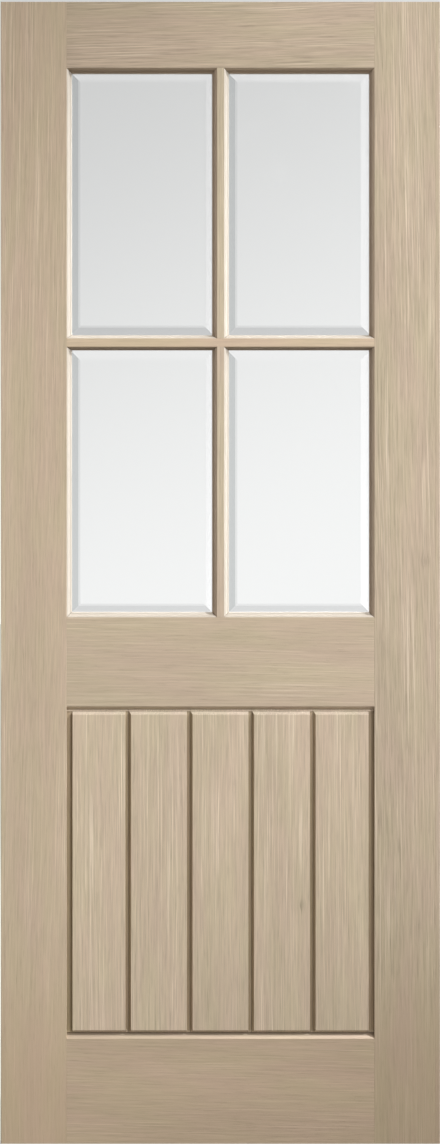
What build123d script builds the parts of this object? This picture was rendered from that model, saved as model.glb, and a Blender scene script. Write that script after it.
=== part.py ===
# Glazed internal door leaf: an oak frame with four bevelled panes above a panel of upright planks.
# Millimetres. X runs from the hinge edge to the lock edge, Y from the front face to the back, Z up.
# The origin is at the foot of the hinge edge, in the middle of the leaf's thickness.

import os

from build123d import *

# Leaf
door_height = 1981.0
door_width = 762.0
door_thickness = 35.0

# Frame: widths measured on the faces, between the openings
stile_width = 114.0
top_rail_height = 114.5
middle_rail_height = 154.5
bottom_rail_height = 182.0
glazed_height = 953.5
lipping_thickness = 8.0
arris_radius = 1.0

# Glazing bars
upright_bar_face = 12.2
cross_bar_face = 14.4

# Glass, bevelled on its front
glass_thickness = 5.0
glass_edge_clearance = 1.0
bevel_width = 18.5
bevel_drop = 2.5

# Glazing beads, set just under the faces and mitred at the corners
bead_width = 8.5
cross_bar_bead_width = 5.8
bead_set = 0.3
bead_chamfer = 3.2
bead_chamfer_drop = 2.1
bead_step = 1.5
bead_step_drop = 3.8
bead_slope_drop = 2.2
mitre_gap = 0.2

# Panel of tongued and grooved planks
plank_count = 5
panel_recess = 1.0
channel_width = 10.0
channel_depth = 4.4
channel_slope = 3.5
valley_depth = 8.0
long_slope = 8.8
short_slope = 5.3
plank_gap = 0.4
tongue_thickness = 10.0
tongue_length = 8.0
tongue_clearance = 0.3

# Half thicknesses and the grooves that take the tongues
half_thickness = door_thickness / 2
glass_half = glass_thickness / 2
plank_half = half_thickness - panel_recess
floor_half = plank_half - channel_depth
valley_half = half_thickness - valley_depth
groove_half = tongue_thickness / 2 + tongue_clearance
groove_depth = tongue_length + tongue_clearance

# Edges of the openings, and the valleys where the planks' ends meet the rails
opening_left = stile_width
opening_right = door_width - stile_width
opening_width = opening_right - opening_left
glazed_top = door_height - top_rail_height
glazed_bottom = glazed_top - glazed_height
panel_top = glazed_bottom - middle_rail_height
panel_bottom = bottom_rail_height
top_valley = panel_top - short_slope
bottom_valley = panel_bottom + long_slope

# Bars, central in the glazed opening
upright_bar_x = (opening_left + opening_right) / 2
cross_bar_z = (glazed_bottom + glazed_top) / 2
bar_left = upright_bar_x - upright_bar_face / 2
bar_right = upright_bar_x + upright_bar_face / 2
bar_bottom = cross_bar_z - cross_bar_face / 2
bar_top = cross_bar_z + cross_bar_face / 2

middle_plane = Plane.YZ.offset(door_width / 2)

os.makedirs("parts", exist_ok=True)


def finish(piece, label):
    """Label one finished piece and write it out."""
    piece.part.label = label
    export_step(piece.part, f"parts/{label}.step")


def swapped(points):
    """The same points with their two coordinates exchanged."""
    return [(second, first) for first, second in points]


def rail_edge(edge, slope):
    """Corners down one edge of a rail, as (place, y) from the front face to the back.

    A slope past the faces' edge runs down to the valley on both faces.
    """
    if slope == 0:
        return [(edge, -half_thickness), (edge, half_thickness)]
    valley = edge + slope
    return [(edge, -half_thickness), (valley, -valley_half), (valley, valley_half), (edge, half_thickness)]


def tongue_or_groove(edge, outward, has_tongue):
    """Corners of the tongue or groove in the middle of a plank's edge, from front to back."""
    half_width = tongue_thickness / 2 if has_tongue else groove_half
    reach = edge + outward * (tongue_length if has_tongue else -groove_depth)
    return [(edge, -half_width), (reach, -half_width), (reach, half_width), (edge, half_width)]


def channel_edge(edge, outward, set_back, slope, has_tongue):
    """Corners down a plank's long edge: the faces stand back from it, beside a channel.

    A slope makes the channel narrower at its floor than at the faces.
    """
    face = edge - outward * set_back
    floor = face + outward * slope
    front = [(face, -plank_half), (floor, -floor_half), (edge, -floor_half)]
    back = [(edge, floor_half), (floor, floor_half), (face, plank_half)]
    return front + tongue_or_groove(edge, outward, has_tongue) + back


def sloped_end(edge, outward, slope):
    """Corners down a plank's end, which slopes from the faces to the valley."""
    face = edge - outward * slope
    front = [(face, -plank_half), (edge, -valley_half)]
    back = [(edge, valley_half), (face, plank_half)]
    return front + tongue_or_groove(edge, outward, True) + back


def bevelled_outline(low, high):
    """Outline of a pane's section: a flat back, and a front that thins towards both edges."""
    thin_edge = -glass_half + bevel_drop
    return [
        (low, thin_edge),
        (low + bevel_width, -glass_half),
        (high - bevel_width, -glass_half),
        (high, thin_edge),
        (high, glass_half),
        (low, glass_half),
    ]


def bevel_at(distance):
    """The y of the glass's bevel at a distance from the opening's edge."""
    return -glass_half + bevel_drop * (1 - (distance - glass_edge_clearance) / bevel_width)


def bead_outline(width, is_front):
    """Outline of a bead, as (distance from the opening's edge, y), with its foot bedded on the glass.

    A chamfer, a steep step and a slope, whose widths follow the bead's, so that the mitres meet.
    """
    outward = -1 if is_front else 1
    toe = bevel_at(width) if is_front else glass_half
    heel = bevel_at(0) if is_front else glass_half
    share = width / bead_width
    outer = half_thickness - bead_set
    step_top = outer - bead_chamfer_drop
    step_foot = step_top - bead_step_drop
    return [
        (0, outward * outer),
        (bead_chamfer * share, outward * step_top),
        ((bead_chamfer + bead_step) * share, outward * step_foot),
        (width, outward * (step_foot - bead_slope_drop)),
        (width, toe),
        (0, heel),
    ]


# Stiles: full height, grooved for the planks
with BuildPart() as hinge_stile:
    with BuildSketch(Plane.XY):
        with Locations((lipping_thickness, 0)):
            Rectangle(stile_width - lipping_thickness, door_thickness, align=(Align.MIN, Align.CENTER))
    extrude(amount=door_height)
    with BuildSketch(Plane.XY.offset(bottom_valley - groove_depth)):
        with Locations((opening_left, 0)):
            Rectangle(groove_depth, 2 * groove_half, align=(Align.MAX, Align.CENTER))
    extrude(amount=top_valley - bottom_valley + 2 * groove_depth, mode=Mode.SUBTRACT)
finish(hinge_stile, "hinge_stile")

with BuildPart() as lock_stile:
    mirror(hinge_stile.part, about=middle_plane)
finish(lock_stile, "lock_stile")

# Lippings: solid strips on the long edges, with their outer arrises eased
with BuildPart() as hinge_edge_lipping:
    with BuildSketch(Plane.XY):
        Rectangle(lipping_thickness, door_thickness, align=(Align.MIN, Align.CENTER))
    extrude(amount=door_height)
    outer_arrises = hinge_edge_lipping.edges().filter_by(Axis.Z).group_by(Axis.X)[0]
    fillet(outer_arrises, radius=arris_radius)
finish(hinge_edge_lipping, "hinge_edge_lipping")

with BuildPart() as lock_edge_lipping:
    mirror(hinge_edge_lipping.part, about=middle_plane)
finish(lock_edge_lipping, "lock_edge_lipping")


def make_rail(label, low, low_slope, high, high_slope, groove_at=None):
    """A rail or bar from stile to stile, sloped to a valley and grooved where it meets the planks."""
    outline = rail_edge(low, -low_slope) + rail_edge(high, high_slope)[::-1]
    with BuildPart() as rail:
        with BuildSketch(Plane.YZ.offset(opening_left)):
            Polygon(*swapped(outline))
        extrude(amount=opening_width)
        if groove_at is not None:
            with BuildSketch(Plane.YZ.offset(opening_left)):
                with Locations((0, groove_at)):
                    Rectangle(2 * groove_half, 2 * groove_depth)
            extrude(amount=opening_width, mode=Mode.SUBTRACT)
    finish(rail, label)


def make_upright_bar(label, low, high):
    """A length of upright bar between a rail and the cross bar."""
    with BuildPart() as bar:
        with BuildSketch(Plane.XY.offset(low)):
            with Locations((upright_bar_x, 0)):
                Rectangle(upright_bar_face, door_thickness)
        extrude(amount=high - low)
    finish(bar, label)


def make_glass(label, left, right, bottom, top):
    """One pane, bevelled all round on its front."""
    with BuildPart() as glass:
        with BuildSketch(Plane.XY.offset(bottom)):
            Polygon(*bevelled_outline(left, right))
        extrude(amount=top - bottom)
        with BuildSketch(Plane.YZ.offset(left)):
            Polygon(*swapped(bevelled_outline(bottom, top)))
        extrude(amount=right - left, mode=Mode.INTERSECT)
    finish(glass, label)


def make_side_beads(label, left, right, bottom, top, low_width, high_width, is_front):
    """The two upright beads of a light, cut back a little from the mitres with the cross beads."""
    low = bottom + mitre_gap
    high = top - mitre_gap
    outline = bead_outline(bead_width, is_front)
    with BuildPart() as beads:
        for edge, inward in ((left, 1), (right, -1)):
            with BuildSketch(Plane.XY.offset(low)):
                Polygon(*[(edge + inward * away, y) for away, y in outline])
            extrude(amount=high - low)
        with BuildSketch(Plane.XZ):
            for edge, inward in ((left, 1), (right, -1)):
                toe = edge + inward * bead_width
                Polygon((edge, low), (toe, low + low_width), (toe, high - high_width), (edge, high))
        extrude(amount=half_thickness, both=True, mode=Mode.INTERSECT)
    finish(beads, label)


def make_cross_beads(label, left, right, bottom, top, low_width, high_width, is_front):
    """The top and bottom beads of a light, mitred at both ends."""
    sticks = ((bottom, 1, low_width), (top, -1, high_width))
    with BuildPart() as beads:
        for edge, inward, width in sticks:
            with BuildSketch(Plane.YZ.offset(left)):
                Polygon(*[(y, edge + inward * away) for away, y in bead_outline(width, is_front)])
            extrude(amount=right - left)
        with BuildSketch(Plane.XZ):
            for edge, inward, width in sticks:
                toe = edge + inward * width
                Polygon((left, edge), (left + bead_width, toe), (right - bead_width, toe), (right, edge))
        extrude(amount=half_thickness, both=True, mode=Mode.INTERSECT)
    finish(beads, label)


def make_plank(label, left, left_set_back, right, right_set_back, is_first):
    """One plank from valley to valley, tongued into its neighbours and the frame."""
    left_edge = channel_edge(left, -1, left_set_back, 0 if is_first else channel_slope, is_first)
    right_edge = channel_edge(right, 1, right_set_back, 0, True)
    bottom_end = sloped_end(bottom_valley + plank_gap / 2, -1, short_slope)
    top_end = sloped_end(top_valley - plank_gap / 2, 1, long_slope)
    with BuildPart() as plank:
        with BuildSketch(Plane.XY):
            Polygon(*left_edge, *right_edge[::-1])
        extrude(amount=door_height)
        with BuildSketch(Plane.YZ):
            Polygon(*swapped(bottom_end + top_end[::-1]))
        extrude(amount=door_width, mode=Mode.INTERSECT)
    finish(plank, label)


# Rails and bars
make_rail("bottom_rail", 0, 0, panel_bottom, long_slope, bottom_valley)
make_rail("middle_rail", panel_top, short_slope, glazed_bottom, 0, top_valley)
make_rail("top_rail", glazed_top, 0, door_height, 0)
make_rail("cross_bar", bar_bottom, 0, bar_top, 0)
make_upright_bar("upper_upright_bar", bar_top, glazed_top)
make_upright_bar("lower_upright_bar", glazed_bottom, bar_bottom)

# Glass and beads, light by light
light_columns = {"left": (opening_left, bar_left), "right": (bar_right, opening_right)}
light_rows = {
    "upper": (bar_top, glazed_top, cross_bar_bead_width, bead_width),
    "lower": (glazed_bottom, bar_bottom, bead_width, cross_bar_bead_width),
}
for row, (bottom, top, low_width, high_width) in light_rows.items():
    for column, (left, right) in light_columns.items():
        make_glass(
            f"{row}_{column}_glass",
            left + glass_edge_clearance,
            right - glass_edge_clearance,
            bottom + glass_edge_clearance,
            top - glass_edge_clearance,
        )
        for side in ("front", "back"):
            light = f"{row}_{column}_{side}"
            widths = (low_width, high_width, side == "front")
            make_side_beads(f"{light}_side_beads", left, right, bottom, top, *widths)
            make_cross_beads(f"{light}_cross_beads", left, right, bottom, top, *widths)

# Planks, side by side between the stiles, with a whole channel beside each stile
plank_pitch = opening_width / plank_count
stile_set_back = channel_width - plank_gap / 2
joint_set_back = (channel_width - plank_gap) / 2
for index in range(plank_count):
    joint = opening_left + index * plank_pitch
    is_first = index == 0
    is_last = index == plank_count - 1
    make_plank(
        f"plank_{index + 1}",
        joint + plank_gap / 2,
        stile_set_back if is_first else joint_set_back,
        joint + plank_pitch - plank_gap / 2,
        stile_set_back if is_last else joint_set_back,
        is_first,
    )
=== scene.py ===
import math

import bpy
from mathutils import Matrix, Vector


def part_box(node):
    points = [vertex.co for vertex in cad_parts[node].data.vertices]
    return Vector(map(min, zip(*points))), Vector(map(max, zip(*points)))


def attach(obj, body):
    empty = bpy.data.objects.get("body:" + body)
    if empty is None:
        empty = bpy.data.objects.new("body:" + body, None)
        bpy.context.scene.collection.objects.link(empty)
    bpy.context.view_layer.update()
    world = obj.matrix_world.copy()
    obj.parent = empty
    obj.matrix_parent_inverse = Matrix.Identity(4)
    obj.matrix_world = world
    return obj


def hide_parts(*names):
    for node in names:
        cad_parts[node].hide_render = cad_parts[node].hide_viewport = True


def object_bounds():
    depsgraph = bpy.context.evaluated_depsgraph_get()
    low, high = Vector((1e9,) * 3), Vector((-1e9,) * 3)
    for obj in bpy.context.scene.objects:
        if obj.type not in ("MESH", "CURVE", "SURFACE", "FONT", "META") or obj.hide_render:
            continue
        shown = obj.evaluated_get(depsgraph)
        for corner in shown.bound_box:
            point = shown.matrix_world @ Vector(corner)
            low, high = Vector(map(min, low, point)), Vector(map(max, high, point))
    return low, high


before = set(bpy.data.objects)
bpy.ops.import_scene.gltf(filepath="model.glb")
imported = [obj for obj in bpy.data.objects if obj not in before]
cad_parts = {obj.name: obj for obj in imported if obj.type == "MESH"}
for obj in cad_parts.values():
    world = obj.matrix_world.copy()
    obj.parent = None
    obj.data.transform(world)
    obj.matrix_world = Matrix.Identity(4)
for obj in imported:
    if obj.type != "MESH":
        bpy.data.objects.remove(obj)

cad_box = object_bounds()

# The photo's frame, in pixels, and where the leaf stands in it
PHOTO_WIDTH = 440
PHOTO_HEIGHT = 1144
LEAF_MIDDLE_PX = 220.5
LEAF_TOP_PX = 1.8
METRES_PER_PX = 0.001735

# The leaf, from the frame
LEAF_LOW = Vector(cad_box[0])
LEAF_HIGH = Vector(cad_box[1])
LEAF_MIDDLE = (LEAF_LOW + LEAF_HIGH) / 2

# Camera
CAMERA_DISTANCE = 5.0
CAMERA_HEIGHT = 1.2
SENSOR_SIZE = 36.0

# Light: an even key close to the face, a wide oval spot further forward, and three soft boxes
KEY_TOWARDS = (2.5, -1.0, 2.05)
KEY_STRENGTH = 3.3
KEY_SOFTNESS = 3.0
SPOT_TOWARDS = (0.592, -0.643, 0.486)
SPOT_AIM = (1.11, 0.0, 1.66)
SPOT_DISTANCE = 11.2
SPOT_REACH = 1.1
SPOT_STRETCH = 2.16
SPOT_POWER = 3230.0
STRIP_BOX_POWER = 11.0
STRIP_BOX_PLACE = (1.25, -2.2, 1.4)
STRIP_BOX_SIZE = (0.7, 2.0)
BACK_BOX_POWER = 110.0
BACK_BOX_PLACE = (1.1, 3.0, 2.4)
BACK_BOX_SIZE = 1.4
SIDE_BOX_POWER = 26.0
SIDE_BOX_PLACE = (-2.2, 0.35, 1.4)
SIDE_BOX_SIZE = 0.6
AMBIENT_STRENGTH = 0.26
AMBIENT_COLOUR = (1.0, 0.79, 0.56, 1.0)

# Floor and backdrop
FLOOR_SIZE = 30.0
FLOOR_LIT = (0.55, 0.55, 0.545, 1.0)
FLOOR_GLOW = (0.82, 0.82, 0.81, 1.0)
FLOOR_GLOW_SHARE = 0.5
FLOOR_BOUNCE = (0.14, 0.13, 0.12, 1.0)
BACKDROP_SLANT = (-0.5, 0.0, 1.0)
BACKDROP_RANGE = (-0.077, 0.235)
BACKDROP_TONES = (0.99, 0.61)

# Wood colours, in sRGB steps of 255, and tones that multiply them
OAK_GREEN_BEIGE = (196.6, 185.0, 161.2)
OAK_PINK_BEIGE = (199.8, 183.6, 165.0)
OAK_PALE_LINE = (226, 213, 193)
BEAD_CREAM = (194, 187, 177)
BEAD_BROWN = (189, 181, 169)
# Painted shade on the beads: on the side turned from the light, underneath, and deeper on the step
BEAD_PAINTED_SHADE_SIDE = (0.95, 0.83, 0.73, 1.0)
BEAD_PAINTED_SHADE_UNDER = (0.77, 0.66, 0.54, 1.0)
BEAD_STEP_PAINTED_SHADE = 0.78
PLANK_TONES = (1.07, 1.07, 1.02, 1.02, 1.02)
PALE_LINE_AMOUNT = 0.7
END_GRAIN_TONE = 0.68
RUBBED_TONE = 1.06

# How far the grain wanders from side to side, and how far arrises are eased
GRAIN_SWAY = 0.014
WOOD_ARRIS = 0.0003
BEAD_ARRIS = 0.0005

# Glass, as tints of what is seen through it; the bevels' tints are painted light and shade, by the side
# each bevel faces
GLASS_FLAT = (0.92, 0.93, 0.925, 1.0)
BEVEL_LEFT = (0.40, 0.42, 0.42, 1.0)
BEVEL_RIGHT = (1.0, 1.0, 1.0, 1.0)
BEVEL_BOTTOM = (0.64, 0.65, 0.655, 1.0)
BEVEL_TOP = (0.87, 0.87, 0.87, 1.0)
GLASS_IOR = 1.5

# How far faces, floors, the valleys' creases and the beads' steps stand from the leaf's mid-plane
PLANK_FACE = 0.0165
CHANNEL_FLOOR = 0.0121
VALLEY_FLOOR = 0.0095
CREASE_TOP = 0.0110
BEAD_STEP_HEAD = 0.0152
BEAD_STEP_FOOT = 0.0138

# The panes' bevel: a ground slope, and a rolled edge where it meets the flat
BEVEL_WIDTH = 0.0185
BEVEL_DROP = 0.0025
ROLL_WIDTH = 0.0035
ROLL_DROP = 0.0002

# Painted shade that makes the wood browner: in the channels above the panel's foot, and at the stiles' feet
CHANNEL_PAINTED_SHADE = (0.61, 0.585, 0.53, 1.0)
CHANNEL_FOOT_HEIGHTS = (0.190, 0.198)
FOOT_PAINTED_SHADE = (0.94, 0.915, 0.88, 1.0)
FOOT_PAINTED_SHADE_HEIGHTS = (0.42, 0.08)
FOOT_CALM = 0.4

# The slopes beside the valleys: their tint, and the painted light and shade on them: where the painted
# shade begins and ends, and how deep it is
SLOPE_PALE = (1.0, 1.018, 1.06, 1.0)
RAIL_SLOPE_PAINTED_LIGHT_AND_SHADE = {
    "foot": 0.0122,
    "head": 0.0150,
    "foot_tone": 0.65,
    "head_tone": 1.12,
    "crease_tone": 0.8,
    "underside_tone": 1.35,
}
PLANK_SLOPE_PAINTED_LIGHT_AND_SHADE = {
    "foot": 0.0102,
    "head": 0.0118,
    "foot_tone": 1.6,
    "head_tone": 1.05,
    "crease_tone": 0.65,
    "underside_tone": 1.7,
}

# Small knots, as (x, z) on the face, and their reach across and along the grain
KNOTS = {"plank_4": (0.5225, 0.4134), "lock_stile": (0.737, 1.0106)}
KNOT_SIZE = (0.008, 0.011)
KNOT_FADE = 0.37
KNOT_PUSH = 0.7
KNOT_DARKENING = 0.14


def from_srgb(steps):
    """A colour written in sRGB steps of 255, as Blender's linear one."""
    linear = []
    for step in steps:
        value = step / 255
        linear.append(value / 12.92 if value <= 0.04045 else ((value + 0.055) / 1.055) ** 2.4)
    return (*linear, 1.0)


def warmed(steps, warmth):
    """A wood colour taken towards brown by a board's own warmth."""
    red, green, blue = steps
    return from_srgb((red, green * (1.0 - 0.012 * warmth), blue * (1.0 - 0.02 * warmth)))


def new_material(name):
    """An empty node material with its output and shader joined."""
    material = bpy.data.materials.new(name)
    material.use_nodes = True
    tree = material.node_tree
    tree.nodes.clear()
    output = tree.nodes.new("ShaderNodeOutputMaterial")
    shader = tree.nodes.new("ShaderNodeBsdfPrincipled")
    tree.links.new(shader.outputs["BSDF"], output.inputs["Surface"])
    return material, tree, shader


def node(tree, kind, inputs=None, **settings):
    """Add one node with its settings and the values or links of its inputs."""
    made = tree.nodes.new(kind)
    for key, value in settings.items():
        setattr(made, key, value)
    for key, value in (inputs or {}).items():
        if isinstance(value, bpy.types.NodeSocket):
            tree.links.new(value, made.inputs[key])
        else:
            made.inputs[key].default_value = value
    return made


def maths(tree, operation, first, second=0.0, third=0.0):
    """One Math node's result."""
    return node(tree, "ShaderNodeMath", {0: first, 1: second, 2: third}, operation=operation).outputs[0]


def ramp(tree, value, low, high, to_low=0.0, to_high=1.0):
    """A value eased from one range to another, held at both ends."""
    made = node(
        tree,
        "ShaderNodeMapRange",
        {"Value": value, "From Min": low, "From Max": high, "To Min": to_low, "To Max": to_high},
        interpolation_type="SMOOTHSTEP",
    )
    return made.outputs["Result"]


def blend_colours(tree, amount, first, second, blend_type="MIX"):
    """Two colours mixed by an amount."""
    made = node(tree, "ShaderNodeMix", data_type="RGBA", blend_type=blend_type)
    sockets = {"Factor": made.inputs[0], "A": made.inputs[6], "B": made.inputs[7]}
    for key, value in (("Factor", amount), ("A", first), ("B", second)):
        if isinstance(value, bpy.types.NodeSocket):
            tree.links.new(value, sockets[key])
        else:
            sockets[key].default_value = value
    return made.outputs[2]


def blend_values(tree, amount, first, second):
    """Two values mixed by an amount."""
    return node(tree, "ShaderNodeMix", {0: amount, 2: first, 3: second}, data_type="FLOAT").outputs[0]


def stretched_noise(tree, grain, across, along, detail=2.0, roughness=0.5):
    """Noise drawn out along the grain: across and along are features in each metre."""
    scales = (across, across, along)
    stretched = node(tree, "ShaderNodeVectorMath", {0: grain, 1: scales}, operation="MULTIPLY")
    made = node(
        tree,
        "ShaderNodeTexNoise",
        {
            "Vector": stretched.outputs[0],
            "Scale": 1.0,
            "Detail": detail,
            "Roughness": roughness,
        },
    )
    return made.outputs["Fac"]


def knot_in(tree, place, centre):
    """How near a place is to a small knot, from 0 to 1, and how far it pushes the grain aside."""
    split = node(tree, "ShaderNodeSeparateXYZ", {0: place})
    across = maths(tree, "SUBTRACT", split.outputs["X"], centre[0])
    along = maths(tree, "SUBTRACT", split.outputs["Z"], centre[1])
    squares = []
    for offset, reach in zip((across, along), KNOT_SIZE):
        share = maths(tree, "ABSOLUTE", maths(tree, "DIVIDE", offset, reach))
        squares.append(maths(tree, "POWER", share, 2.0))
    near = maths(tree, "POWER", KNOT_FADE, maths(tree, "ADD", *squares))
    push = maths(tree, "MULTIPLY", maths(tree, "MULTIPLY", across, near), -KNOT_PUSH)
    return near, push


def grain_space(tree, place, runs_along, log_place, lean, push):
    """A place turned so that Z runs with the grain, moved to the board's own place in the log."""
    lean_angle = math.radians(lean)
    turn = (0.0, math.pi / 2 + lean_angle if runs_along == "X" else lean_angle, 0.0)
    turned = node(tree, "ShaderNodeMapping", {"Vector": place, "Location": log_place, "Rotation": turn})
    grain = turned.outputs["Vector"]
    wander = stretched_noise(tree, grain, 9.0, 1.6, detail=1.0)
    sway = maths(tree, "MULTIPLY_ADD", wander, GRAIN_SWAY, -GRAIN_SWAY / 2)
    aside = node(tree, "ShaderNodeCombineXYZ", {"X": maths(tree, "ADD", sway, push)})
    moved = node(tree, "ShaderNodeVectorMath", {0: grain, 1: aside.outputs[0]}, operation="ADD")
    return moved.outputs[0]


def oak_figure(tree, grain):
    """The layers of the figure, all drawn out along the grain."""
    ring_space = node(tree, "ShaderNodeVectorMath", {0: grain, 1: (1.0, 1.0, 0.05)}, operation="MULTIPLY")
    rings = node(
        tree,
        "ShaderNodeTexWave",
        {
            "Vector": ring_space.outputs[0],
            "Scale": 52.0,
            "Distortion": 5.0,
            "Detail": 3.0,
            "Detail Scale": 0.6,
            "Detail Roughness": 0.6,
        },
        wave_type="RINGS",
        rings_direction="Z",
    )
    pores = stretched_noise(tree, grain, 1500.0, 42.0, detail=1.0)
    lines = stretched_noise(tree, grain, 760.0, 3.8, detail=0.0)
    line_places = stretched_noise(tree, grain, 34.0, 2.6)
    dashes = stretched_noise(tree, grain, 480.0, 20.0, detail=0.0)
    tint = stretched_noise(tree, grain, 24.0, 6.0, detail=3.0)
    return {
        "rings": rings.outputs["Fac"],
        "broad": stretched_noise(tree, grain, 11.0, 1.6),
        "streaks": stretched_noise(tree, grain, 130.0, 5.0),
        "fibres": stretched_noise(tree, grain, 500.0, 14.0, roughness=0.6),
        "pores": ramp(tree, pores, 0.60, 0.72),
        "pale_lines": ramp(tree, lines, 0.58, 0.72),
        "line_places": ramp(tree, line_places, 0.40, 0.62, 0.12, 1.0),
        "dark_dashes": ramp(tree, dashes, 0.40, 0.28),
        "tint": ramp(tree, tint, 0.3, 0.7),
    }


def oak_surface(tree, place, runs_along):
    """Which way the wood faces, how far out and how high it is, its end grain and its rubbed arrises."""
    normal = node(tree, "ShaderNodeSeparateXYZ", {0: node(tree, "ShaderNodeNewGeometry").outputs["Normal"]})
    sizes = {axis: maths(tree, "ABSOLUTE", normal.outputs[axis]) for axis in "XYZ"}
    place_parts = node(tree, "ShaderNodeSeparateXYZ", {0: place})
    depth = maths(tree, "ABSOLUTE", place_parts.outputs["Y"])
    squarest = maths(tree, "MAXIMUM", maths(tree, "MAXIMUM", sizes["X"], sizes["Y"]), sizes["Z"])
    near_face = ramp(tree, depth, PLANK_FACE - 0.0006, PLANK_FACE)
    return {
        "to_right": normal.outputs["X"],
        "upwards": normal.outputs["Z"],
        "levelness": sizes["Z"],
        "depth": depth,
        "height": place_parts.outputs["Z"],
        "end_grain": ramp(tree, sizes[runs_along], 0.3, 0.95),
        "rubbed": maths(tree, "MULTIPLY", ramp(tree, squarest, 0.98, 0.80), near_face),
    }


def oak_lightness(tree, figure, surface, tone, streak, near_knot):
    """How light the wood is, about 1: end grain drinks more oil, and eased arrises are rubbed paler."""
    shade = maths(tree, "MULTIPLY_ADD", figure["rings"], 0.03, -0.015)
    shade = maths(tree, "MULTIPLY_ADD", maths(tree, "SUBTRACT", figure["streaks"], 0.5), 0.09, shade)
    shade = maths(tree, "MULTIPLY_ADD", maths(tree, "SUBTRACT", figure["fibres"], 0.5), 0.42, shade)
    shade = maths(tree, "MULTIPLY_ADD", figure["dark_dashes"], -0.07, shade)
    light = maths(tree, "MULTIPLY_ADD", maths(tree, "SUBTRACT", figure["broad"], 0.5), 0.24, 1.0)
    light = maths(tree, "MULTIPLY_ADD", shade, streak, light)
    light = maths(tree, "MULTIPLY_ADD", figure["pores"], -0.10, light)
    if near_knot is not None:
        light = maths(tree, "MULTIPLY_ADD", near_knot, -KNOT_DARKENING, light)
    light = maths(tree, "MULTIPLY", light, tone)
    light = maths(tree, "MULTIPLY", light, ramp(tree, surface["end_grain"], 0.0, 1.0, 1.0, END_GRAIN_TONE))
    return maths(tree, "MULTIPLY", light, ramp(tree, surface["rubbed"], 0.0, 1.0, 1.0, RUBBED_TONE))


def oak_colour(tree, figure, streak, warmth):
    """Beige that drifts between green and pink, with thin pale lines."""
    beiges = (warmed(OAK_GREEN_BEIGE, warmth), warmed(OAK_PINK_BEIGE, warmth))
    colour = blend_colours(tree, figure["tint"], *beiges)
    line_amount = maths(tree, "MULTIPLY", figure["pale_lines"], figure["line_places"])
    line_amount = maths(tree, "MULTIPLY", line_amount, PALE_LINE_AMOUNT)
    line_amount = maths(tree, "MULTIPLY", line_amount, streak)
    return blend_colours(tree, line_amount, colour, warmed(OAK_PALE_LINE, warmth))


def slope_painted_light_and_shade(tree, surface, slope):
    """Where the wood is one of the slopes beside a valley, and the painted light and shade on it there."""
    depth = surface["depth"]
    not_upright = ramp(tree, surface["levelness"], 0.4, 0.6)
    not_level = ramp(tree, surface["levelness"], 0.97, 0.9)
    sloped = maths(tree, "MULTIPLY", not_upright, not_level)
    upper_tone = ramp(tree, depth, slope["foot"], slope["head"], slope["foot_tone"], slope["head_tone"])
    faces_down = ramp(tree, surface["upwards"], 0.1, -0.1)
    slope_tone = blend_values(tree, faces_down, upper_tone, slope["underside_tone"])
    crease = ramp(tree, depth, VALLEY_FLOOR, CREASE_TOP, slope["crease_tone"], 1.0)
    return sloped, maths(tree, "MULTIPLY", slope_tone, crease)


def channel_painted_shade(tree, surface, colour):
    """Painted shade: the wood made browner in the channels, down to the panel's foot."""
    sunk = ramp(tree, surface["depth"], CHANNEL_FLOOR + 0.0004, PLANK_FACE - 0.0008, 1.0, 0.0)
    in_channel = maths(tree, "MULTIPLY", sunk, ramp(tree, surface["levelness"], 0.3, 0.1))
    above_foot = ramp(tree, surface["height"], *CHANNEL_FOOT_HEIGHTS)
    in_channel = maths(tree, "MULTIPLY", in_channel, above_foot)
    return blend_colours(tree, in_channel, colour, CHANNEL_PAINTED_SHADE, "MULTIPLY")


def bead_painted_shade(tree, surface, colour):
    """Painted shade: the wood made browner on a bead's step, on its side away from the light and
    underneath.
    """
    step_tone = ramp(tree, surface["depth"], BEAD_STEP_FOOT, BEAD_STEP_HEAD, BEAD_STEP_PAINTED_SHADE, 1.0)
    step_grey = node(tree, "ShaderNodeCombineXYZ", {axis: step_tone for axis in "XYZ"})
    turned_away = maths(tree, "MINIMUM", surface["to_right"], surface["upwards"])
    shades = (
        (turned_away, step_grey.outputs[0]),
        (surface["to_right"], BEAD_PAINTED_SHADE_SIDE),
        (surface["upwards"], BEAD_PAINTED_SHADE_UNDER),
    )
    for facing, shade in shades:
        colour = blend_colours(tree, ramp(tree, facing, -0.1, -0.5), colour, shade, "MULTIPLY")
    return colour


def satin_oil(tree, shader, figure, rubbed):
    """Oil that is glossier on the fibres and duller in the sunk pores and on the rubbed arrises."""
    roughness = maths(tree, "MULTIPLY_ADD", figure["fibres"], 0.22, 0.42)
    roughness = maths(tree, "MULTIPLY_ADD", figure["pores"], 0.2, roughness)
    roughness = maths(tree, "MULTIPLY_ADD", rubbed, 0.1, roughness)
    tree.links.new(roughness, shader.inputs["Roughness"])
    shader.inputs["Specular IOR Level"].default_value = 0.22
    raised = maths(tree, "MULTIPLY_ADD", figure["fibres"], 0.5, figure["streaks"])
    relief = maths(tree, "MULTIPLY_ADD", figure["pores"], -0.8, raised)
    bump = node(tree, "ShaderNodeBump", {"Strength": 0.35, "Distance": 0.0003, "Height": relief})
    tree.links.new(bump.outputs["Normal"], shader.inputs["Normal"])


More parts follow.
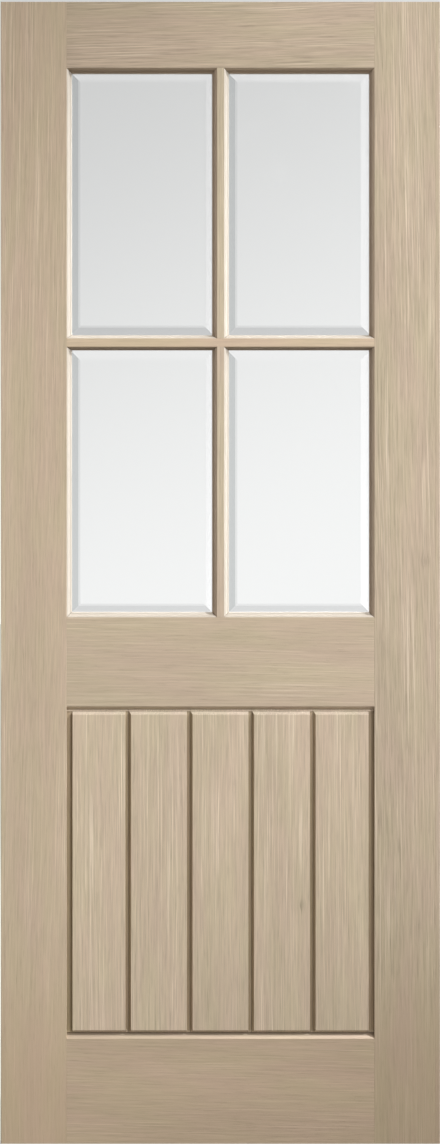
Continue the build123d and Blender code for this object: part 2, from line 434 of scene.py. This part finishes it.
def oak(
    name,
    runs_along,
    log_place,
    tone=1.0,
    streak=1.0,
    warmth=0.0,
    lean=0.0,
    cream=False,
    has_channels=False,
    slope=None,
    knot=None,
    painted_foot_shade=False,
):
    """Pale oiled oak in a board of its own, with painted shade in its channels, on its beads and at a
    stile's foot, painted light and shade on its slopes, and darker near a knot.
    """
    material, tree, shader = new_material(name)
    place = node(tree, "ShaderNodeTexCoord").outputs["Object"]
    near_knot, push = (None, 0.0) if knot is None else knot_in(tree, place, knot)
    figure = oak_figure(tree, grain_space(tree, place, runs_along, log_place, lean, push))
    surface = oak_surface(tree, place, runs_along)

    # The figure is calm where a stile's foot has painted shade
    if painted_foot_shade:
        near_foot = ramp(tree, surface["height"], *FOOT_PAINTED_SHADE_HEIGHTS)
        streak = ramp(tree, near_foot, 0.0, 1.0, streak, FOOT_CALM * streak)
    light = oak_lightness(tree, figure, surface, tone, streak, near_knot)
    # Painted light and shade on the slopes beside the valleys
    if slope is not None:
        sloped, slope_tone = slope_painted_light_and_shade(tree, surface, slope)
        light = blend_values(tree, sloped, light, maths(tree, "MULTIPLY", light, slope_tone))

    if cream:
        colour = blend_colours(tree, figure["streaks"], from_srgb(BEAD_CREAM), from_srgb(BEAD_BROWN))
    else:
        colour = oak_colour(tree, figure, streak, warmth)
    grey = node(tree, "ShaderNodeCombineXYZ", {axis: light for axis in "XYZ"})
    colour = blend_colours(tree, 1.0, colour, grey.outputs[0], "MULTIPLY")
    # Painted shade that browns the channels
    if has_channels:
        colour = channel_painted_shade(tree, surface, colour)
    if slope is not None:
        colour = blend_colours(tree, sloped, colour, SLOPE_PALE, "MULTIPLY")
    # Painted shade on the beads' step, shaded side and underside
    if cream:
        colour = bead_painted_shade(tree, surface, colour)
    # Painted shade that browns a stile's foot
    if painted_foot_shade:
        colour = blend_colours(tree, near_foot, colour, FOOT_PAINTED_SHADE, "MULTIPLY")
    tree.links.new(colour, shader.inputs["Base Color"])
    satin_oil(tree, shader, figure, surface["rubbed"])
    return material


def clear_glass():
    """Polished glass of the panes' flats, with the faint smears of a wiped pane."""
    material, tree, shader = new_material("clear_polished_glass")
    place = node(tree, "ShaderNodeTexCoord").outputs["Object"]
    smears = node(tree, "ShaderNodeTexNoise", {"Vector": place, "Scale": 14.0, "Detail": 3.0})
    shader.inputs["Base Color"].default_value = GLASS_FLAT
    shader.inputs["Transmission Weight"].default_value = 1.0
    shader.inputs["IOR"].default_value = GLASS_IOR
    roughness = ramp(tree, smears.outputs["Fac"], 0.45, 0.8, 0.0, 0.05)
    tree.links.new(roughness, shader.inputs["Roughness"])
    return material


def bevel_glass():
    """Ground and polished glass of the bevels, with painted light and shade: each side has its own grey,
    weaker on the rolled edge.
    """
    material, tree, shader = new_material("bevel_glass_painted_light_and_shade")
    normal = node(tree, "ShaderNodeNewGeometry").outputs["Normal"]
    facing = node(tree, "ShaderNodeSeparateXYZ", {0: normal})
    to_right = ramp(tree, facing.outputs["X"], -0.02, 0.02)
    to_top = ramp(tree, facing.outputs["Z"], -0.02, 0.02)
    slope_across = maths(tree, "ABSOLUTE", facing.outputs["X"])
    slope_down = maths(tree, "ABSOLUTE", facing.outputs["Z"])
    upright = ramp(tree, maths(tree, "SUBTRACT", slope_across, slope_down), -0.01, 0.01)
    # Painted light and shade: each bevel's grey by the side it faces
    sides = blend_colours(tree, to_right, BEVEL_LEFT, BEVEL_RIGHT)
    ends = blend_colours(tree, to_top, BEVEL_BOTTOM, BEVEL_TOP)
    painted_bevel_light_and_shade = blend_colours(tree, upright, ends, sides)
    steepness = ramp(tree, maths(tree, "MAXIMUM", slope_across, slope_down), 0.02, 0.10)
    colour = blend_colours(tree, steepness, GLASS_FLAT, painted_bevel_light_and_shade)
    tree.links.new(colour, shader.inputs["Base Color"])
    place = node(tree, "ShaderNodeTexCoord").outputs["Object"]
    grinding = node(tree, "ShaderNodeTexNoise", {"Vector": place, "Scale": 260.0, "Detail": 2.0})
    roughness = ramp(tree, grinding.outputs["Fac"], 0.3, 0.7, 0.02, 0.08)
    tree.links.new(roughness, shader.inputs["Roughness"])
    shader.inputs["Transmission Weight"].default_value = 1.0
    shader.inputs["IOR"].default_value = GLASS_IOR
    return material


def dress(name, material, arris=WOOD_ARRIS):
    """Give a CAD node its finish, and ease its arrises."""
    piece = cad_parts[name]
    for slot in piece.material_slots:
        slot.material = material
    weld = piece.modifiers.new("weld", "WELD")
    weld.merge_threshold = 1e-5
    plane = piece.modifiers.new("flats", "DECIMATE")
    plane.decimate_type = "DISSOLVE"
    plane.angle_limit = math.radians(1.0)
    ease = piece.modifiers.new("eased_arris", "BEVEL")
    ease.width = arris
    ease.segments = 2
    ease.limit_method = "ANGLE"
    ease.angle_limit = math.radians(30.0)


def dress_wood():
    """The frame and the panel, each piece in its own board of oak."""
    # Each board's place in the log, tone, streak, warmth and lean in degrees
    stiles = {
        "hinge_stile": ((0.21, 0.06, 0.3), 0.99, 0.85, 1.1, -0.8),
        "lock_stile": ((-0.43, 0.11, 2.1), 0.92, 1.4, 0.6, 0.8),
    }
    for name, (log_place, tone, streak, warmth, lean) in stiles.items():
        finish = oak(
            f"{name}_oak",
            "Z",
            log_place,
            tone,
            streak,
            warmth,
            lean,
            knot=KNOTS.get(name),
            painted_foot_shade=True,
        )
        dress(name, finish)
        edge = name.replace("stile", "edge_lipping")
        edge_place = (log_place[0] + 0.3, 0.2, 0.7)
        dress(edge, oak(f"{edge}_oak", "Z", edge_place, tone, warmth=warmth, painted_foot_shade=True))
    rails = {
        "top_rail": ((0.3, 0.12, 0.4), 0.905, 1.5, 0.6, 1.6),
        "middle_rail": ((-0.5, 0.09, 1.4), 0.945, 0.8, 0.7, -0.8),
        "bottom_rail": ((0.1, 0.14, -2.2), 0.93, 0.85, 1.9, -1.2),
        "cross_bar": ((0.2, 0.3, 3.1), 1.10, 0.6, 1.8, 0.0),
    }
    for name, (log_place, tone, streak, warmth, lean) in rails.items():
        finish = oak(f"{name}_oak", "X", log_place, tone, streak, warmth, lean, slope=RAIL_SLOPE_PAINTED_LIGHT_AND_SHADE)
        dress(name, finish)
    for index, name in enumerate(("upper_upright_bar", "lower_upright_bar")):
        dress(name, oak(f"{name}_oak", "Z", (0.1 + 0.2 * index, 0.3, 1.7 * index)))
    for index, tone in enumerate(PLANK_TONES):
        log_place = (0.17 * index - 0.6, 0.05 + 0.03 * index, 1.9 * index)
        name = f"plank_{index + 1}"
        finish = oak(
            f"{name}_oak",
            "Z",
            log_place,
            tone,
            streak=1.15,
            warmth=0.35,
            has_channels=True,
            slope=PLANK_SLOPE_PAINTED_LIGHT_AND_SHADE,
            knot=KNOTS.get(name),
        )
        dress(name, finish)


def dress_beads():
    """The glazing beads, of a paler stick of oak."""
    upright_stick = oak("side_bead_oak", "Z", (0.05, 0.02, 0.2), streak=0.35, cream=True)
    level_stick = oak("cross_bead_oak", "X", (0.02, 0.07, 0.9), streak=0.35, cream=True)
    for row in ("upper", "lower"):
        for column in ("left", "right"):
            for side in ("front", "back"):
                dress(f"{row}_{column}_{side}_side_beads", upright_stick, BEAD_ARRIS)
                dress(f"{row}_{column}_{side}_cross_beads", level_stick, BEAD_ARRIS)


def model_pane(name, node_name, flat, bevel):
    """A pane modelled as a thin sheet, its front inset and drawn forward into a bevel and a rolled edge."""
    low, high = (Vector(corner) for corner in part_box(node_name))
    thickness = high.y - low.y
    bpy.ops.object.select_all(action="DESELECT")
    back_half = Vector((high.x - low.x, thickness - BEVEL_DROP, high.z - low.z))
    centre = Vector(((low.x + high.x) / 2, high.y - back_half.y / 2, (low.z + high.z) / 2))
    bpy.ops.mesh.primitive_cube_add(size=1.0, location=centre, scale=back_half)
    pane = bpy.context.active_object
    pane.name = name
    bpy.ops.object.transform_apply(location=True, rotation=True, scale=True)
    bpy.ops.object.mode_set(mode="EDIT")
    bpy.ops.mesh.select_mode(type="FACE")
    bpy.ops.mesh.select_all(action="DESELECT")
    bpy.ops.object.mode_set(mode="OBJECT")
    for face in pane.data.polygons:
        face.select = face.normal.y < -0.9
    bpy.ops.object.mode_set(mode="EDIT")
    bpy.ops.mesh.inset(thickness=BEVEL_WIDTH, depth=0.0)
    bpy.ops.transform.translate(value=(0.0, ROLL_DROP - BEVEL_DROP, 0.0))
    bpy.ops.mesh.inset(thickness=ROLL_WIDTH, depth=0.0)
    bpy.ops.transform.translate(value=(0.0, -ROLL_DROP, 0.0))
    bpy.ops.object.mode_set(mode="OBJECT")
    pane.data.materials.append(flat)
    pane.data.materials.append(bevel)
    for face in pane.data.polygons:
        is_bevel = face.normal.y < -0.5 and abs(face.normal.y) < 0.9995
        face.material_index = 1 if is_bevel else 0
    pane.visible_shadow = False
    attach(pane, "root")
    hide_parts(node_name)


def glaze():
    """The four panes."""
    flat = clear_glass()
    bevel = bevel_glass()
    for row in ("upper", "lower"):
        for column in ("left", "right"):
            model_pane(f"{row}_{column}_pane", f"{row}_{column}_glass", flat, bevel)


def lay_floor():
    """A pale floor: plain for the lens, dimmer as a source of bounced light."""
    bpy.ops.object.select_all(action="DESELECT")
    bpy.ops.mesh.primitive_plane_add(size=FLOOR_SIZE, location=(LEAF_MIDDLE.x, 0.0, LEAF_LOW.z))
    floor = bpy.context.active_object
    floor.name = "floor"
    bpy.ops.object.transform_apply(location=True, rotation=True, scale=True)
    material = bpy.data.materials.new("pale_floor")
    material.use_nodes = True
    tree = material.node_tree
    tree.nodes.clear()
    output = tree.nodes.new("ShaderNodeOutputMaterial")
    lit = node(tree, "ShaderNodeBsdfDiffuse", {"Color": FLOOR_LIT})
    glow = node(tree, "ShaderNodeEmission", {"Color": FLOOR_GLOW, "Strength": 1.0})
    seen = node(tree, "ShaderNodeMixShader", {0: FLOOR_GLOW_SHARE, 1: lit.outputs[0], 2: glow.outputs[0]})
    bounced = node(tree, "ShaderNodeBsdfDiffuse", {"Color": FLOOR_BOUNCE})
    shaders = {0: lens_rays(tree), 1: bounced.outputs[0], 2: seen.outputs[0]}
    mixed = node(tree, "ShaderNodeMixShader", shaders)
    tree.links.new(mixed.outputs[0], output.inputs["Surface"])
    floor.data.materials.append(material)


def lens_rays(tree):
    """1 on the rays that draw the picture: from the lens, mirrored or through glass."""
    path = node(tree, "ShaderNodeLightPath")
    seen = maths(tree, "MAXIMUM", path.outputs["Is Camera Ray"], path.outputs["Is Glossy Ray"])
    return maths(tree, "MAXIMUM", seen, path.outputs["Is Transmission Ray"])


def hang_backdrop():
    """A pale backdrop that dims upwards and to the left, and a soft even light from all around."""
    world = bpy.data.worlds.new("studio")
    bpy.context.scene.world = world
    world.use_nodes = True
    tree = world.node_tree
    tree.nodes.clear()
    output = tree.nodes.new("ShaderNodeOutputWorld")
    place = node(tree, "ShaderNodeTexCoord").outputs["Generated"]
    slant = node(tree, "ShaderNodeVectorMath", {0: place, 1: BACKDROP_SLANT}, operation="DOT_PRODUCT")
    paleness = ramp(tree, slant.outputs["Value"], *BACKDROP_RANGE, *BACKDROP_TONES)
    seen = node(tree, "ShaderNodeBackground", {"Color": paleness, "Strength": 1.0})
    ambient = node(tree, "ShaderNodeBackground", {"Color": AMBIENT_COLOUR, "Strength": AMBIENT_STRENGTH})
    shaders = {0: lens_rays(tree), 1: ambient.outputs[0], 2: seen.outputs[0]}
    mixed = node(tree, "ShaderNodeMixShader", shaders)
    tree.links.new(mixed.outputs[0], output.inputs["Surface"])


def aim(lamp, target):
    """Turn a lamp to look at a place."""
    lamp.rotation_euler = (Vector(target) - lamp.location).to_track_quat("-Z", "Y").to_euler()


def hang_lamp(name, kind, place, target, power):
    """Add one lamp that looks at a place."""
    light = bpy.data.lights.new(name, kind)
    light.energy = power
    lamp = bpy.data.objects.new(name, light)
    bpy.context.scene.collection.objects.link(lamp)
    lamp.location = place
    aim(lamp, target)
    lamp.visible_camera = False
    lamp.visible_transmission = False
    return lamp


def light_studio():
    """A key and a soft-edged spot from the upper right, and soft boxes in front, behind and beside."""
    towards = Vector(KEY_TOWARDS).normalized()
    key = hang_lamp("key", "SUN", LEAF_MIDDLE + 3.0 * towards, LEAF_MIDDLE, KEY_STRENGTH)
    key.data.angle = math.radians(KEY_SOFTNESS)

    # The spot's oval is long from the lower left to the upper right
    back_to_spot = Vector(SPOT_TOWARDS).normalized()
    oval_short = Vector((-back_to_spot.z, 0.0, back_to_spot.x)).normalized()
    oval_long = back_to_spot.cross(oval_short)
    spot_place = Vector(SPOT_AIM) + SPOT_DISTANCE * back_to_spot
    spot = hang_lamp("spot", "SPOT", spot_place, SPOT_AIM, SPOT_POWER)
    spot.rotation_euler = Matrix((oval_short, oval_long, back_to_spot)).transposed().to_euler()
    spot.scale = (1.0, SPOT_STRETCH, 1.0)
    spot.data.spot_size = 2 * math.atan(SPOT_REACH / SPOT_DISTANCE)
    spot.data.spot_blend = 1.0
    spot.data.shadow_soft_size = SPOT_DISTANCE * math.tan(math.radians(KEY_SOFTNESS / 2))

    straight_on = Vector(STRIP_BOX_PLACE) + Vector((0.0, 1.0, 0.0))
    strip_box = hang_lamp("strip_box", "AREA", STRIP_BOX_PLACE, straight_on, STRIP_BOX_POWER)
    strip_box.data.shape = "RECTANGLE"
    strip_box.data.size, strip_box.data.size_y = STRIP_BOX_SIZE
    back_box = hang_lamp("back_box", "AREA", BACK_BOX_PLACE, LEAF_MIDDLE, BACK_BOX_POWER)
    back_box.data.size = BACK_BOX_SIZE

    # The side box stands behind the plane of the face, so only the hinge edge and the back see it
    side_box = hang_lamp("side_box", "AREA", SIDE_BOX_PLACE, LEAF_MIDDLE, SIDE_BOX_POWER)
    side_box.data.size = SIDE_BOX_SIZE


def place_camera():
    """Straight on to the front face, framed as in the photo."""
    frame_height = PHOTO_HEIGHT * METRES_PER_PX
    frame_top = LEAF_HIGH.z + LEAF_TOP_PX * METRES_PER_PX
    aside = (LEAF_MIDDLE_PX - PHOTO_WIDTH / 2) * METRES_PER_PX
    lens = bpy.data.cameras.new("camera")
    lens.sensor_width = SENSOR_SIZE
    lens.lens = SENSOR_SIZE * (CAMERA_DISTANCE + LEAF_LOW.y) / frame_height
    lens.shift_y = (frame_top - frame_height / 2 - CAMERA_HEIGHT) / frame_height
    camera = bpy.data.objects.new("camera", lens)
    bpy.context.scene.collection.objects.link(camera)
    camera.location = (LEAF_MIDDLE.x - aside, -CAMERA_DISTANCE, CAMERA_HEIGHT)
    camera.rotation_euler = (math.pi / 2, 0.0, 0.0)
    bpy.context.scene.camera = camera


dress_wood()
dress_beads()
glaze()
lay_floor()
hang_backdrop()
light_studio()
place_camera()
bpy.context.scene.view_settings.view_transform = "Standard"
